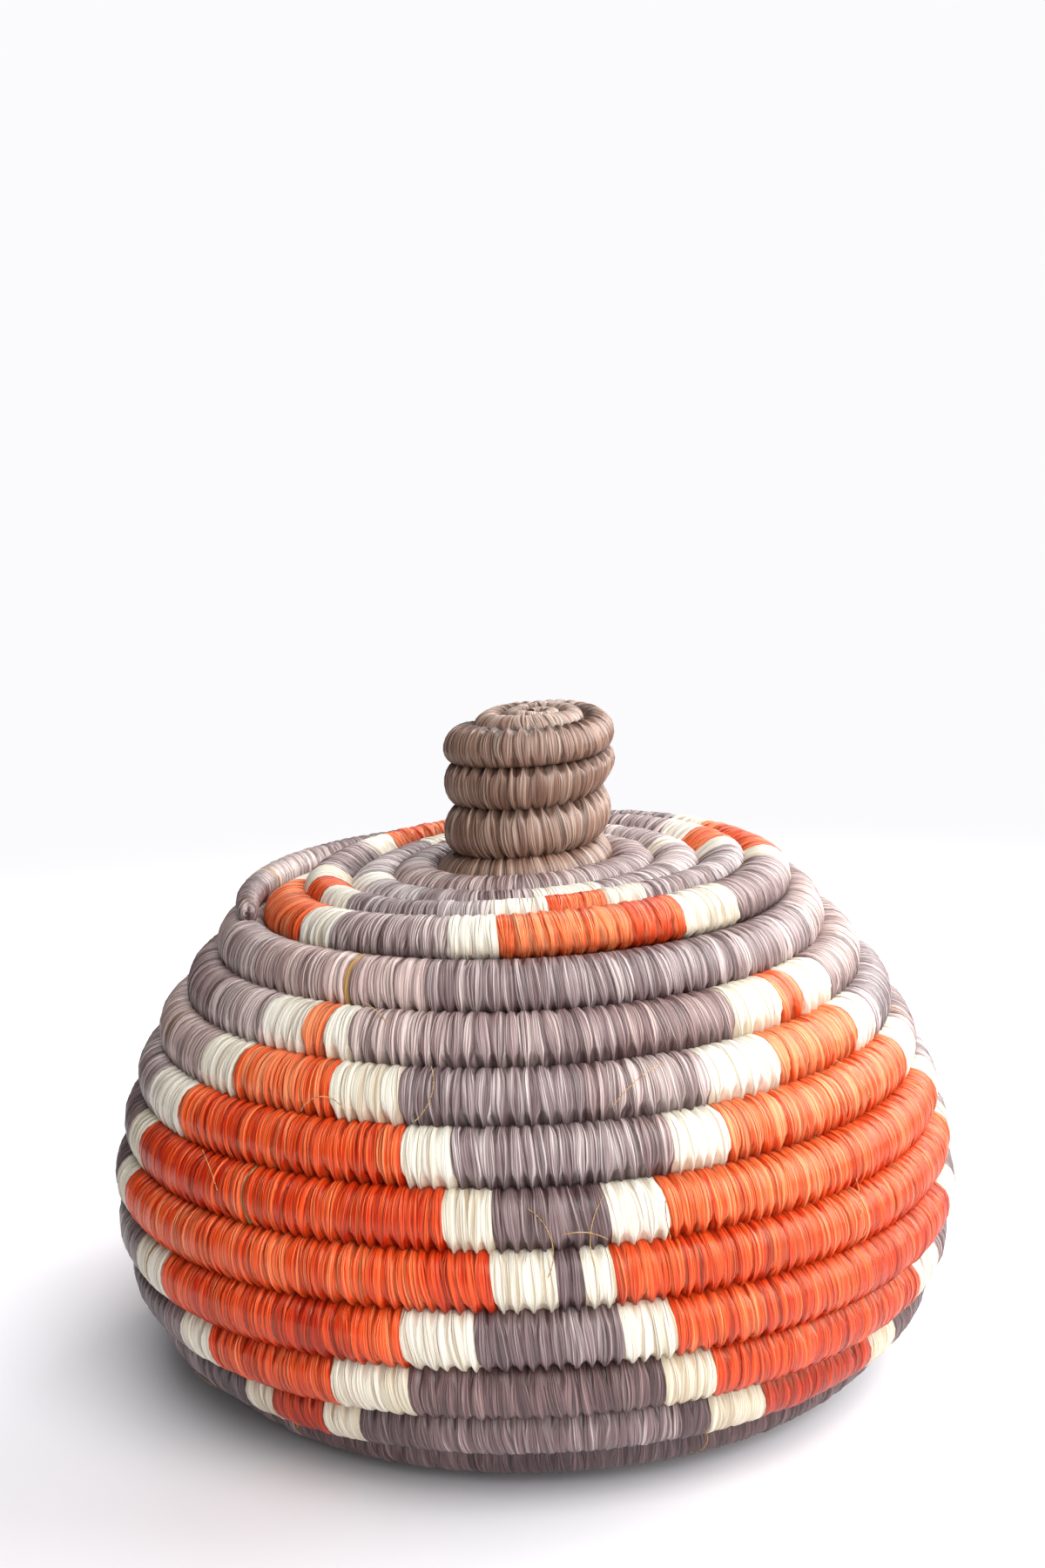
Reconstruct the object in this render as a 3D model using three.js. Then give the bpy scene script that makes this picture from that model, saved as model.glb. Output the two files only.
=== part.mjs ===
// Lidded basket: a bulbous body and a low lid with a round knob, each wound from one wrapped bundle of
// stalks.
// Millimetres, +Z up, the front towards -Y. The origin is the middle of the base, on the surface it stands
// on. A radius given for a coil is its centreline's. An azimuth starts at the front and turns to the right.
import * as THREE from "three";

// Sizes of the body
const bodyPitch = 10.75; // between the middles of neighbouring turns
const bodyCoilDepth = 10.4; // of the coil, through the wall
const widestRadius = 84.5;
const widestHeight = 39;
const bellyDrop = 56.5; // the lower wall is a quarter ellipse this deep, cut off by the base
const shoulderRise = 82.7; // the upper wall is a quarter oval this high, cut off by the mouth
const shoulderFullness = 1.8; // 2 is an ellipse, and 1 a straight cone
const mouthRadius = 52.4;
const baseCornerAngle = 9; // degrees of the lower wall's ellipse that the rounded base corner takes

// Sizes of the lid
const lidPitch = 9.35;
const lidCoilDepth = 8.6;
const knobRadius = 13.4;
const knobRise = 28.85; // from the plate's innermost turn up to the rim of the knob's top
const knobDome = 2; // of the middle of the knob's top above its rim
const knobEdgeRadius = 3;
const knobFootRadius = 3;
const knobShift = 2; // of the middle of the knob's top off the lid's axis
const knobShiftTurn = 157.5; // degrees of the first turn after which the coil faces that way
const plateRadius = 46; // where the plate starts to bend down to its edge
const plateSlope = 4; // degrees
const edgeBendRadius = 9;
const edgeBend = 56; // degrees

// Sizes of the ring under the lid that keeps it in the mouth
const ringThickness = 8.4;
const ringPlay = 2; // between the ring and the mouth, all round

// Ends of the coils: azimuths and lengths in degrees
const bodyEndAzimuth = 285;
const bodyTailLength = 120; // over which the coil thins out
const bodyTailThickness = 0.3; // of the full coil, at its very end
const bodyTailLean = 58; // how far the tail stands up from the wall's own slope
const lidEndAzimuth = 225;
const lidTailLength = 45;
const lidTailThickness = 0.4;
const bodyHeadThickness = 0.12; // of the full coil, where its first turn starts in the middle
const bodyHeadTurns = 1; // over which the coil grows to its full thickness
const lidHeadThickness = 0.25;
const lidHeadTurns = 4.5;

// Clearances
const turnGap = 0.5; // between neighbouring turns of one coil
const seatGap = 0.3; // between pieces that rest on each other
const axisGap = 0.4; // left open at the middle of a coil's first turn

// Fineness of the coils
const stepsPerTurn = 24;
const sectionSides = 6;
const outlineStep = 0.25; // between the points that an outline is measured on
const wallPoints = 24; // along the upper wall's oval
const searchStep = 1; // that a coil first moves by while it is settled on another
const searchEnd = 1e-4; // the error that a search may leave

const radians = THREE.MathUtils.degToRad;
const flatShare = Math.cos(Math.PI / sectionSides); // from a section's middle to its flats, for a corner at 1

// An outline in the (radius, height) half plane, along which the turns of a coil are spaced.
class Outline {
  constructor(path) {
    const length = path.getLength();
    this.points = path.getSpacedPoints(Math.ceil(length / outlineStep));
    this.step = length / (this.points.length - 1);
    this.length = length;
  }

  at(distance) {
    const last = this.points.length - 1;
    const place = THREE.MathUtils.clamp(distance / this.step, 0, last);
    const index = Math.min(Math.floor(place), last - 1);
    return this.points[index].clone().lerp(this.points[index + 1], place - index);
  }

  // How far along the outline the next point lies that is a given span, straight across, from this one. The
  // function "at" gives the points as one half plane sees them.
  reach(from, span, at) {
    const start = at(from);
    const spare = (distance) => start.distanceTo(at(distance)) - span;
    let high = from;
    while (spare(high) < 0 && high < this.length) high += outlineStep;
    let low = high - outlineStep;
    while (high - low > searchEnd) {
      const middle = (low + high) / 2;
      if (spare(middle) < 0) low = middle;
      else high = middle;
    }
    return high;
  }
}

// The body's outline: flat base, rounded corner, belly and shoulder, up to the mouth.
function bodyOutline() {
  const path = new THREE.Path();
  const baseHeight = bodyCoilDepth / 2;
  const cut = -Math.asin((widestHeight - baseHeight) / bellyDrop);
  const cornerRadius = widestRadius * Math.cos(cut);
  const bellyStart = cut + radians(baseCornerAngle);
  const bellyFoot = new THREE.Vector2(
    widestRadius * Math.cos(bellyStart),
    widestHeight + bellyDrop * Math.sin(bellyStart),
  );
  const cornerLength = bellyFoot.distanceTo(new THREE.Vector2(cornerRadius, baseHeight));
  path.moveTo(0, baseHeight);
  path.lineTo(cornerRadius - cornerLength, baseHeight);
  path.quadraticCurveTo(cornerRadius, baseHeight, bellyFoot.x, bellyFoot.y);
  path.absellipse(0, widestHeight, widestRadius, bellyDrop, bellyStart, 0);
  const power = 2 / shoulderFullness;
  const mouthAngle = Math.acos((mouthRadius / widestRadius) ** (1 / power));
  for (let i = 1; i <= wallPoints; i += 1) {
    const angle = (mouthAngle * i) / wallPoints;
    const height = widestHeight + shoulderRise * Math.sin(angle) ** power;
    path.lineTo(widestRadius * Math.cos(angle) ** power, height);
  }
  return new Outline(path);
}

// The lid's outline, from the middle of the knob's top: over its edge, down its side and out along the plate.
function lidOutline() {
  const path = new THREE.Path();
  const slope = radians(plateSlope);
  const drop = (radius) => -knobRise - (radius - knobRadius) * Math.tan(slope);
  const footEnd = knobRadius + knobFootRadius;
  const topRadius = knobRadius - knobEdgeRadius;
  path.moveTo(0, knobDome);
  path.quadraticCurveTo(topRadius / 2, knobDome, topRadius, 0);
  path.quadraticCurveTo(knobRadius, 0, knobRadius, -knobEdgeRadius);
  path.lineTo(knobRadius, -knobRise + knobFootRadius);
  path.quadraticCurveTo(knobRadius, -knobRise, footEnd, drop(footEnd));
  path.lineTo(plateRadius, drop(plateRadius));
  const bendX = plateRadius - edgeBendRadius * Math.sin(slope);
  const bendY = drop(plateRadius) - edgeBendRadius * Math.cos(slope);
  const bendStart = Math.PI / 2 - slope;
  path.absarc(bendX, bendY, edgeBendRadius, bendStart, bendStart - radians(edgeBend), true);
  return new Outline(path);
}

// A coil as a row of stations, one every few degrees, each with its azimuth, its middle and its section's
// corners in the half plane of that azimuth, and how far it lies aside of the half plane. The coil starts
// thin in the middle and grows to its full thickness. Each turn after the first lies against the turn
// before, one gap away. The tail thins out again, and may lean off the outline. The innermost turns may be
// wound round a middle of their own, shifted off the axis, and the shift fades out towards head.radius.
function windCoil({ outline, pitch, depth, endAzimuth, direction, head, tail }) {
  const fullWidth = (pitch - turnGap) / 2;
  const grown = (i) => Math.min(1, i / (head.turns * stepsPerTurn));
  const headShare = (i) => THREE.MathUtils.lerp(head.thickness, 1, grown(i));
  const spanAfter = (i) => fullWidth * (headShare(i) + headShare(i + stepsPerTurn)) + turnGap;
  const shiftAngle = (i) => radians((360 * i) / stepsPerTurn - head.shiftTurn);
  const shift = (point) => head.shift * Math.max(0, 1 - point.x / head.radius);
  const seenFrom = (i) => (distance) => {
    const point = outline.at(distance);
    point.x += shift(point) * Math.cos(shiftAngle(i));
    return point;
  };
  const start = fullWidth * head.thickness + axisGap;
  const distances = [];
  for (let i = 0; ; i += 1) {
    const inner = i - stepsPerTurn;
    const onFirstTurn = start + (spanAfter(0) * i) / stepsPerTurn;
    const next = inner < 0 ? onFirstTurn : outline.reach(distances[inner], spanAfter(inner), seenFrom(i));
    if (next > outline.length) break;
    distances.push(next);
  }
  const last = distances.length - 1;
  const tailSteps = Math.round((tail.length / 360) * stepsPerTurn);
  const stations = [];
  distances.forEach((distance, i) => {
    const fade = Math.max(0, 1 - (last - i) / tailSteps);
    const share = headShare(i) * THREE.MathUtils.lerp(1, tail.thickness, fade);
    const station = {
      azimuth: endAzimuth + (direction * (i - last) * 360) / stepsPerTurn,
      middle: seenFrom(i)(distance),
      aside: -direction * shift(outline.at(distance)) * Math.sin(shiftAngle(i)),
      halfWidth: fullWidth * share,
      halfDepth: (depth / 2) * share,
    };
    if (fade > 0) {
      const below = stations[i - stepsPerTurn];
      const away = station.middle.clone().sub(below.middle).normalize();
      away.rotateAround(new THREE.Vector2(), -radians(tail.lean) * fade);
      const span = below.halfWidth + station.halfWidth + turnGap;
      station.middle = below.middle.clone().addScaledVector(away, span);
    }
    stations.push(station);
  });
  addSections(stations);
  return stations;
}

// Gives each station its section in the half plane. Two corners point at the neighbouring turns.
function addSections(stations) {
  stations.forEach((station, i) => {
    const before = stations[i - stepsPerTurn] ?? station;
    const after = stations[i + stepsPerTurn] ?? station;
    const along = after.middle.clone().sub(before.middle).normalize();
    station.section = section(station, along);
  });
}

function section({ middle, halfWidth, halfDepth }, along) {
  const across = new THREE.Vector2(-along.y, along.x);
  return Array.from({ length: sectionSides }, (_, side) => {
    const angle = (side * 2 * Math.PI) / sectionSides;
    const corner = middle.clone().addScaledVector(along, Math.cos(angle) * halfWidth);
    return corner.addScaledVector(across, (Math.sin(angle) * halfDepth) / flatShare);
  });
}

function raise(stations, height) {
  for (const station of stations) {
    station.middle.y += height;
    for (const corner of station.section) corner.y += height;
  }
}

// Presses a coil flat where it would reach below the surface that the basket stands on.
function flatten(stations) {
  for (const corner of corners(stations)) corner.y = Math.max(corner.y, 0);
}

const corners = (stations) => stations.flatMap((station) => station.section);

// The least distance between two convex sections, less than zero where they overlap.
function sectionGap(first, second) {
  const separation = (one, other) =>
    Math.max(
      ...one.map((corner, i) => {
        const edge = one[(i + 1) % one.length].clone().sub(corner);
        const normal = new THREE.Vector2(edge.y, -edge.x).normalize();
        return Math.min(...other.map((point) => point.clone().sub(corner).dot(normal)));
      }),
    );
  const apart = Math.max(separation(first, second), separation(second, first));
  if (apart <= 0) return apart;
  const distances = [[first, second], [second, first]].flatMap(([one, other]) =>
    one.flatMap((corner, i) => other.map((point) => pointToEdge(point, corner, one[(i + 1) % one.length]))),
  );
  return Math.min(...distances);
}

function pointToEdge(point, begin, end) {
  const edge = end.clone().sub(begin);
  const share = THREE.MathUtils.clamp(point.clone().sub(begin).dot(edge) / edge.lengthSq(), 0, 1);
  return point.distanceTo(begin.clone().addScaledVector(edge, share));
}

// Which of a turn's half planes a station stands in.
function planeOf({ azimuth }) {
  return THREE.MathUtils.euclideanModulo(Math.round((azimuth * stepsPerTurn) / 360), stepsPerTurn);
}

// The least gap between two coils, taken in every half plane that holds a station of each.
function coilGap(first, second) {
  const near = bodyPitch + lidPitch;
  let least = near;
  for (const one of first) {
    for (const other of second) {
      if (planeOf(one) !== planeOf(other) || one.middle.distanceTo(other.middle) > near) continue;
      least = Math.min(least, sectionGap(one.section, other.section));
    }
  }
  return least;
}

// The least gap of a coil to its own turns.
function ownGap(stations) {
  let least = Infinity;
  for (let i = stepsPerTurn; i < stations.length; i += 1) {
    for (let j = i - stepsPerTurn; j >= 0; j -= stepsPerTurn) {
      least = Math.min(least, sectionGap(stations[i].section, stations[j].section));
    }
  }
  return least;
}

// Moves a coil towards a fixed one, down or up, from clear of it until the seat gap is left.
function settle(stations, fixed, direction) {
  const heights = (coil) => corners(coil).map((corner) => corner.y * direction);
  raise(stations, direction * (Math.min(...heights(fixed)) - Math.max(...heights(stations)) - seatGap));
  let step = searchStep;
  while (step > searchEnd) {
    raise(stations, direction * step);
    if (coilGap(stations, fixed) < seatGap) {
      raise(stations, -direction * step);
      step /= 2;
    }
  }
}

// A ring bent from one length of coil, its two ends butted at the back.
function bendRing(radius, thickness) {
  const azimuths = Array.from({ length: stepsPerTurn + 1 }, (_, i) => 180 + (i * 360) / stepsPerTurn);
  const halfOpening = THREE.MathUtils.radToDeg(turnGap / (radius - thickness / 2)) / 2;
  azimuths[0] += halfOpening;
  azimuths[stepsPerTurn] -= halfOpening;
  const upwards = new THREE.Vector2(0, 1);
  return azimuths.map((azimuth) => {
    const middle = new THREE.Vector2(radius, 0);
    const halfDepth = (thickness / 2) * flatShare;
    const station = { azimuth, middle, aside: 0, halfWidth: thickness / 2, halfDepth };
    station.section = section(station, upwards);
    return station;
  });
}

// The closed surface round a row of sections, capped at both ends.
function coilGeometry(stations) {
  const positions = [];
  for (const { azimuth, aside, section: outline } of stations) {
    const sine = Math.sin(radians(azimuth));
    const cosine = Math.cos(radians(azimuth));
    for (const { x: radius, y: height } of outline) {
      positions.push(radius * sine + aside * cosine, aside * sine - radius * cosine, height);
    }
  }
  const faces = [];
  for (let i = 0; i < stations.length - 1; i += 1) {
    for (let side = 0; side < sectionSides; side += 1) {
      const here = i * sectionSides + side;
      const beside = i * sectionSides + ((side + 1) % sectionSides);
      faces.push([here, beside, beside + sectionSides], [here, beside + sectionSides, here + sectionSides]);
    }
  }
  const lastRing = (stations.length - 1) * sectionSides;
  for (let side = 1; side < sectionSides - 1; side += 1) {
    faces.push([0, side + 1, side], [lastRing, lastRing + side, lastRing + side + 1]);
  }
  const outward = stations[1].azimuth > stations[0].azimuth;
  const index = faces.flatMap((face) => (outward ? [...face].reverse() : face));
  const geometry = new THREE.BufferGeometry();
  geometry.setAttribute("position", new THREE.Float32BufferAttribute(positions, 3));
  geometry.setIndex(index);
  geometry.computeVertexNormals();
  return geometry;
}

function raffia(color) {
  return new THREE.MeshStandardMaterial({ color, roughness: 0.62, metalness: 0, flatShading: true });
}

function coilMesh(name, stations, material) {
  const mesh = new THREE.Mesh(coilGeometry(stations), material);
  mesh.name = name;
  return mesh;
}

// The body's coil climbs towards the right. The lid's starts in the knob's top and runs down the other way.
const body = windCoil({
  outline: bodyOutline(),
  pitch: bodyPitch,
  depth: bodyCoilDepth,
  endAzimuth: bodyEndAzimuth,
  direction: 1,
  head: { thickness: bodyHeadThickness, turns: bodyHeadTurns, shift: 0, shiftTurn: 0, radius: widestRadius },
  tail: { length: bodyTailLength, thickness: bodyTailThickness, lean: bodyTailLean },
});
const lidHead = {
  thickness: lidHeadThickness,
  turns: lidHeadTurns,
  shift: knobShift,
  shiftTurn: knobShiftTurn,
  radius: knobRadius,
};
const lid = windCoil({
  outline: lidOutline(),
  pitch: lidPitch,
  depth: lidCoilDepth,
  endAzimuth: lidEndAzimuth,
  direction: -1,
  head: lidHead,
  tail: { length: lidTailLength, thickness: lidTailThickness, lean: 0 },
});
flatten(body);
settle(lid, body, -1);

const mouth = Math.min(...corners(body.slice(-2 * stepsPerTurn)).map((corner) => corner.x));
const ring = bendRing(mouth - ringPlay - ringThickness / 2, ringThickness);
settle(ring, lid, 1);

console.log("least gap of the body's coil to itself, mm:", ownGap(body).toFixed(2));
console.log("least gap of the lid's coil to itself, mm:", ownGap(lid).toFixed(2));
console.log("gap between the lid and the body, mm:", coilGap(lid, body).toFixed(2));

const basket = new THREE.Group();
basket.add(coilMesh("basket_coil", body, raffia(0xd9683c)));
basket.add(coilMesh("lid_coil", lid, raffia(0x7d7276)));
basket.add(coilMesh("lid_locating_ring", ring, raffia(0xe9e3d0)));

export default basket;
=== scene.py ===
"""Lidded coil basket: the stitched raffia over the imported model's coils.

Lengths are millimetres until a mesh is made, and azimuths are degrees from the front towards the right.
"""
import math

import bpy
import numpy as np
from mathutils import Matrix, Vector


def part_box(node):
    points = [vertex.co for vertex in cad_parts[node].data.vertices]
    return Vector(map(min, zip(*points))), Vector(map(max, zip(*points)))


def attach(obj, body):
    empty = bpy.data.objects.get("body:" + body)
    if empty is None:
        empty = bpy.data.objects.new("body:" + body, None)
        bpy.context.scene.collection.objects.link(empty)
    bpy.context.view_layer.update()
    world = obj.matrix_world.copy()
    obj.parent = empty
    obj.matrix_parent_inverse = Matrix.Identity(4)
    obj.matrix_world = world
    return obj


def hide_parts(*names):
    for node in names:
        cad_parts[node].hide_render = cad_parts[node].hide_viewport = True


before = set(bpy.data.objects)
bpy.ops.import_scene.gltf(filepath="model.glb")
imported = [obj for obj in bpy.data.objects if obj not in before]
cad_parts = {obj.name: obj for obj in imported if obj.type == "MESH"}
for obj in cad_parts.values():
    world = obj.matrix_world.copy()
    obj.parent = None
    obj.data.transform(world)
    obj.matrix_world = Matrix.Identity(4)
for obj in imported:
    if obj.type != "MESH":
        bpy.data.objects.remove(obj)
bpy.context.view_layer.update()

MM = 0.001

# The body's outline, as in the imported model, whose coil leans more at its end and is thinner there
BODY_PITCH = 10.75
BODY_DEPTH = 10.4
WIDEST_RADIUS = 84.5
WIDEST_HEIGHT = 39.0
BELLY_DROP = 56.5
SHOULDER_RISE = 82.7
SHOULDER_FULLNESS = 1.8
MOUTH_RADIUS = 52.4
BASE_CORNER_ANGLE = 9.0
BODY_END_AZIMUTH = 285.0
# The degrees over which the coil thins out, its share of the full thickness at the very end, how many
# degrees it leans off the outline there, and the share of its thickness that the stitches add
BODY_TAIL = {"length": 120.0, "thickness": 0.3, "lean": 42.0, "swell": 0.4}
# The share of the full thickness at which the coil starts in the middle, the turns over which it grows,
# how far the first turns are wound off the axis, the degrees of the first turn after which the coil faces
# that way, and the radius at which they are back on the axis
BODY_HEAD = {"thickness": 0.12, "turns": 1.0, "shift": 0.0, "shift_turn": 0.0, "radius": WIDEST_RADIUS}

# The lid's outline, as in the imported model
LID_PITCH = 9.35
LID_DEPTH = 8.6
KNOB_RADIUS = 13.4
KNOB_RISE = 28.85
KNOB_DOME = 2.0
KNOB_EDGE_RADIUS = 3.0
KNOB_FOOT_RADIUS = 3.0
PLATE_RADIUS = 46.0
PLATE_SLOPE = 4.0
EDGE_BEND_RADIUS = 9.0
EDGE_BEND = 56.0
LID_END_AZIMUTH = 225.0
LID_TAIL = {"length": 45.0, "thickness": 0.4, "lean": 0.0, "swell": 0.0}
LID_HEAD = {"thickness": 0.25, "turns": 4.5, "shift": 2.0, "shift_turn": 157.5, "radius": KNOB_RADIUS}

# The ring's coil, which runs a little over one turn, so that its ends lie in each other
RING_THICKNESS = 8.4
RING_STEPS = 97
RING_START, RING_END = 180.0, 542.0

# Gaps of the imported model, which set where the turns lie
TURN_GAP = 0.5
AXIS_GAP = 0.4

# The stitches
STITCH_WIDTH = 2.45
STITCH_SPREAD = 0.17  # of the width, from stitch to stitch
SLANT = 0.45  # how far a stitch's lower end lies further along the coil than its middle
SLANT_SPREAD = 0.4
DRIFT_SHARE = 0.6  # of that spread, which this many neighbouring stitches have in common
DRIFT_STITCHES = 9
HEIGHT_SPREAD = 0.07  # how far one stitch stands out from the others
STRAND_STITCHES = (5, 26)  # one strand of raffia lasts for 5 to 25 of them
COLUMNS = (0.0, 0.09, 0.22, 0.36, 0.5, 0.64, 0.78, 0.91)  # across a stitch, from the groove before it
# the share of the groove's depth at which a stitch's flanks lie, by the place across it
FLANK_PLACES = (0.0, 0.09, 0.22, 0.78, 0.91, 1.0)
FLANK_DEPTHS = (-1.0, -0.45, -0.06, -0.06, -0.45, -1.0)
GROOVE = (0.09, 1.0)  # depth between two stitches, on the crown and in the crease
FREE_GROOVE = 0.7  # of the crease's depth, in the crease that a stitch isn't sewn into
GROOVE_SPREAD = (0.1, 1.9)  # least and most of the crown's depth
SEAM_ANGLE = 16.0  # degrees from the seam between two turns over which a groove closes
SEWN_SPREAD, FREE_SPREAD = 38.0, 36.0  # degrees over which a stitch eases into its two creases
RIDGE = 0.07  # how far the folds of a strip stand out
GAP_SHARE = 0.008  # of the stitches are gaps that show the core
GAP_WIDTH = 0.3
GAP_DEPTH = 0.35
TOOTH_NARROWING = (0.62, 0.34)  # of a stitch at the crease that it is sewn into, and at the other
TOOTH_ANGLES = (28.0, 66.0)  # from the crease, between which a stitch narrows
TOOTH_REACH = 0.8  # how far a stitch's end reaches over the turn that it is sewn into
SQUARENESS = 2.06  # 2 is a round section
OVERLAP = 0.4  # of a turn's half width into its neighbour's
WANDER = 0.16  # how far a turn strays from its place, and over how many degrees it does
WANDER_ANGLE = 55.0
END_ROUNDING = 2.0  # the length over which a coil's end is rounded
ROUNDED_SHARE = 0.995  # of that length, so that the cap keeps a tenth of the thickness

# Round the section of a coil, in degrees from the crease with the next turn: over its outer side, and back
# over its inner side
ROUND_OUTSIDE = (0, 11, 23, 38, 55, 73, 91, 109, 126, 140, 151, 160, 168, 180)
ROUND_INSIDE = (195, 214, 241, 270, 299, 326, 346)

AROUND = np.radians(ROUND_OUTSIDE + ROUND_INSIDE)
# Degrees of each of those points from the crease that a stitch is sewn into, and from the other
FROM_SEWN = np.abs(np.degrees(AROUND) - 180)
FROM_FREE = np.minimum(np.degrees(AROUND), 360 - np.degrees(AROUND))

# Painted shade in the creases: how dark it is and over how many degrees, where a stitch is sewn in and at
# its other end, on the stitches and in the notches between them. Then how much painted shade the whole of a
# groove gets
CREASE_SHADE_ON_STITCH = ((1.0, 30.0), (0.5, 18.0))
CREASE_SHADE_IN_NOTCH = ((1.1, 56.0), (0.9, 44.0))
GROOVE_SHADE = 0.45

# Loose fibres
FIBRE_RADIUS = 0.085
FIBRE_SPOTS = 14  # along a fibre
FIBRE_BEND = 1.0  # radians, the spread of how far they bend
FIBRE_SINK = 0.4  # of their ends into the stitches
# they arch over the stitches in half a sine wave to a power, without this share of it at either end
FIBRE_ARCH_START = 0.08
FIBRE_ARCH_POWER = 0.6
FIBRE_SHADES = (0.7, 0.5, 0.0, 0.4)  # what the colour takes, in the order of write_shades, with no painted crease shade
# how many are strewn over the wall, and what they lie between: how far up it, and heading, length and lift
STREWN = 22
STREWN_PLACES, STREWN_HEADINGS = (0, 0.85), (20, 160)
STREWN_LENGTHS, STREWN_LIFTS = (5, 14), (0.2, 0.8)
# azimuth, distance along the outline, heading, length and lift
BODY_FIBRES = [
    (10.6, 143.0, 46.0, 12.0, 1.2), (-1.0, 126.5, -35.0, 13.0, 0.5),
    (8.2, 128.0, -128.0, 12.0, 0.5), (3.0, 122.0, 15.0, 8.0, 0.6),
]
LID_FIBRES = [
    (22.0, 72.0, -25.0, 9.0, 0.8), (34.0, 75.0, -150.0, 8.0, 0.6), (-20.0, 60.0, 60.0, 7.0, 0.7),
]
WALL_LENGTH = 110.0  # of the body's outline, from the mouth down

# The body's pieces, from the middle of its base, and the turns at which each one stops, counted back from
# where the rim would pass the front next
BODY_PIECES = {
    "basket_base": 13.0, "basket_foot": 10.5, "basket_lower_wall": 8.5, "basket_belly": 6.5,
    "basket_upper_belly": 4.5, "basket_shoulder": 2.5, "basket_rim": 0.0,
}
BODY_FRONT = 0.0  # the unwrapped azimuths at which the two coils pass the front for the last time
LID_FRONT = 360.0
PLATE_TURNS = 3.5  # from there inwards to the knob

# How the lid has settled: its left side lies lower, its plate is flatter and its knob stands up from it
LID_TILT = 0.052  # rise per millimetre to the right
LID_WARP = 0.00056  # fall per square millimetre to either side
PLATE_SINK = 2.0  # of the plate inside its outer turn, which the two radii bound
PLATE_SINK_RADII = (36.0, 46.0)
KNOB_STRETCH = 2.3  # what the knob gains in height up to its top, by this power of the way up it
KNOB_STRETCH_POWER = 1.6
KNOB_FOOT, KNOB_TOP = 109.0, 138.8
KNOB_SPREAD = 0.09  # how much wider the knob's top is, and how far it is pushed to the right
KNOB_LEAN = 1.0
KNOB_LEAN_FROM = 121.0  # the height at which that starts, and the height over which it grows
KNOB_LEAN_OVER = 9.0

MAP_UNIT = 10.0  # millimetres to a unit of the fibres' map
BAKE_MARGIN = 1.05  # between the strips of the map for baking

# The raffia's look. Grains are counted in a centimetre across the fibres and along them
SHADE_HEIGHTS = (0.02, 0.085)  # heights in metres over which painted light and shade change: darker towards the foot, lighter up the wall
STRAY_GRAIN = (4, 1.2)
STRAY = 0.07  # centimetres that the fibres wander to either side
FOLD_GRAIN = (9, 0.3)
FIBRE_GRAIN = (42, 0.6)
GAP_GRAIN = (22, 0.5)
GAP_RANGE = (0.36, 0.28)  # of the noise, from no gap between the fibres to an open one
# painted shade in the open gaps between the fibres
GAP_SHADE = 0.55
# what each of them moves the shade by, as a share of the dye's range
STRAND_SHADE, STITCH_SHADE, FOLD_SHADE, FIBRE_SHADE = 0.36, 0.18, 0.5, 1.5
ROUGHNESS_SPREAD = 0.3
FOLD_BUMP, FIBRE_BUMP, GAP_BUMP = 0.6, 0.5, 0.4
BUMP_STRENGTH = 0.85
BUMP_DISTANCE = 0.0005

# The stage
FLOOR_FADE = (0.2, 0.6)  # metres from the middle over which the floor fades into the background
FLOOR_COLOUR = (0.87, 0.865, 0.895, 1)
BACKGROUND_COLOUR = (0.965, 0.965, 0.98, 1)
WORLD_STRENGTH = 0.08
# name, azimuth and elevation in degrees, distance and size in metres, and power in watts
LAMPS = (
    ("window", 100, 20, 2.4, 1.6, 54),
    ("window_behind", 135, 32, 2.4, 1.8, 50),
    ("wall_behind", 180, 40, 2.4, 1.6, 14),
    ("ceiling", 0, 89, 2.4, 2.0, 10),
    ("room", 24, 50, 2.4, 2.0, 54),
    ("room_low", 24, 8, 2.4, 1.6, 26),
)
LAMP_AIM = (0, 0, 0.06)

# The camera, fitted to the photograph: pitch, yaw and roll in degrees, and its place in metres
CAMERA_ANGLES = (10.10, -0.10, -1.33)
CAMERA_PLACE = (0, -0.4524, 0.2031)

rng = np.random.default_rng(7)


def unit(vector):
    return vector / np.linalg.norm(vector)


def bell(distance, height, width):
    return height * np.exp(-(distance / width) ** 2)


def eased(value, low, high):
    """0 up to low, 1 from high on, and a smooth step between them."""
    share = ((value - low) / (high - low)).clip(0, 1)
    return share * share * (3 - 2 * share)


class Outline:
    """A line in the (radius, height) half plane, along which the turns of a coil are spaced."""

    STEP = 0.1
    LEAST_REACH = 0.6  # of a span, at which the search for the next turn starts

    def __init__(self, points):
        points = np.asarray(points, float)
        lengths = np.concatenate([[0], np.cumsum(np.linalg.norm(np.diff(points, axis=0), axis=1))])
        self.length = lengths[-1]
        self.places = np.linspace(0, self.length, math.ceil(self.length / self.STEP) + 1)
        self.points = np.stack([np.interp(self.places, lengths, points[:, k]) for k in (0, 1)], 1)

    def at(self, distance):
        return np.array([np.interp(distance, self.places, self.points[:, k]) for k in (0, 1)])

    def reach(self, start, span, shift):
        """The distance along the outline of the next point that lies a span, straight across, from this
        one. shift gives how far a half plane sees the points moved off the axis."""
        first = np.searchsorted(self.places, start + span * self.LEAST_REACH)
        here = self.at(start)
        ahead = self.points[first:]
        gaps = np.hypot(
            ahead[:, 0] + shift(ahead[:, 0]) - here[0] - shift(here[0]),
            ahead[:, 1] - here[1],
        )
        beyond = np.nonzero(gaps >= span)[0]
        if not len(beyond):
            return self.length + 1
        after = beyond[0]
        if after == 0:
            return self.places[first]
        share = (span - gaps[after - 1]) / (gaps[after] - gaps[after - 1])
        return self.places[first + after - 1] + share * self.STEP


def quadratic(start, control, end, count=24):
    start, control, end = (np.asarray(p, float) for p in (start, control, end))
    return [
        (1 - t) ** 2 * start + 2 * t * (1 - t) * control + t * t * end
        for t in np.linspace(0, 1, count)
    ]


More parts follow.
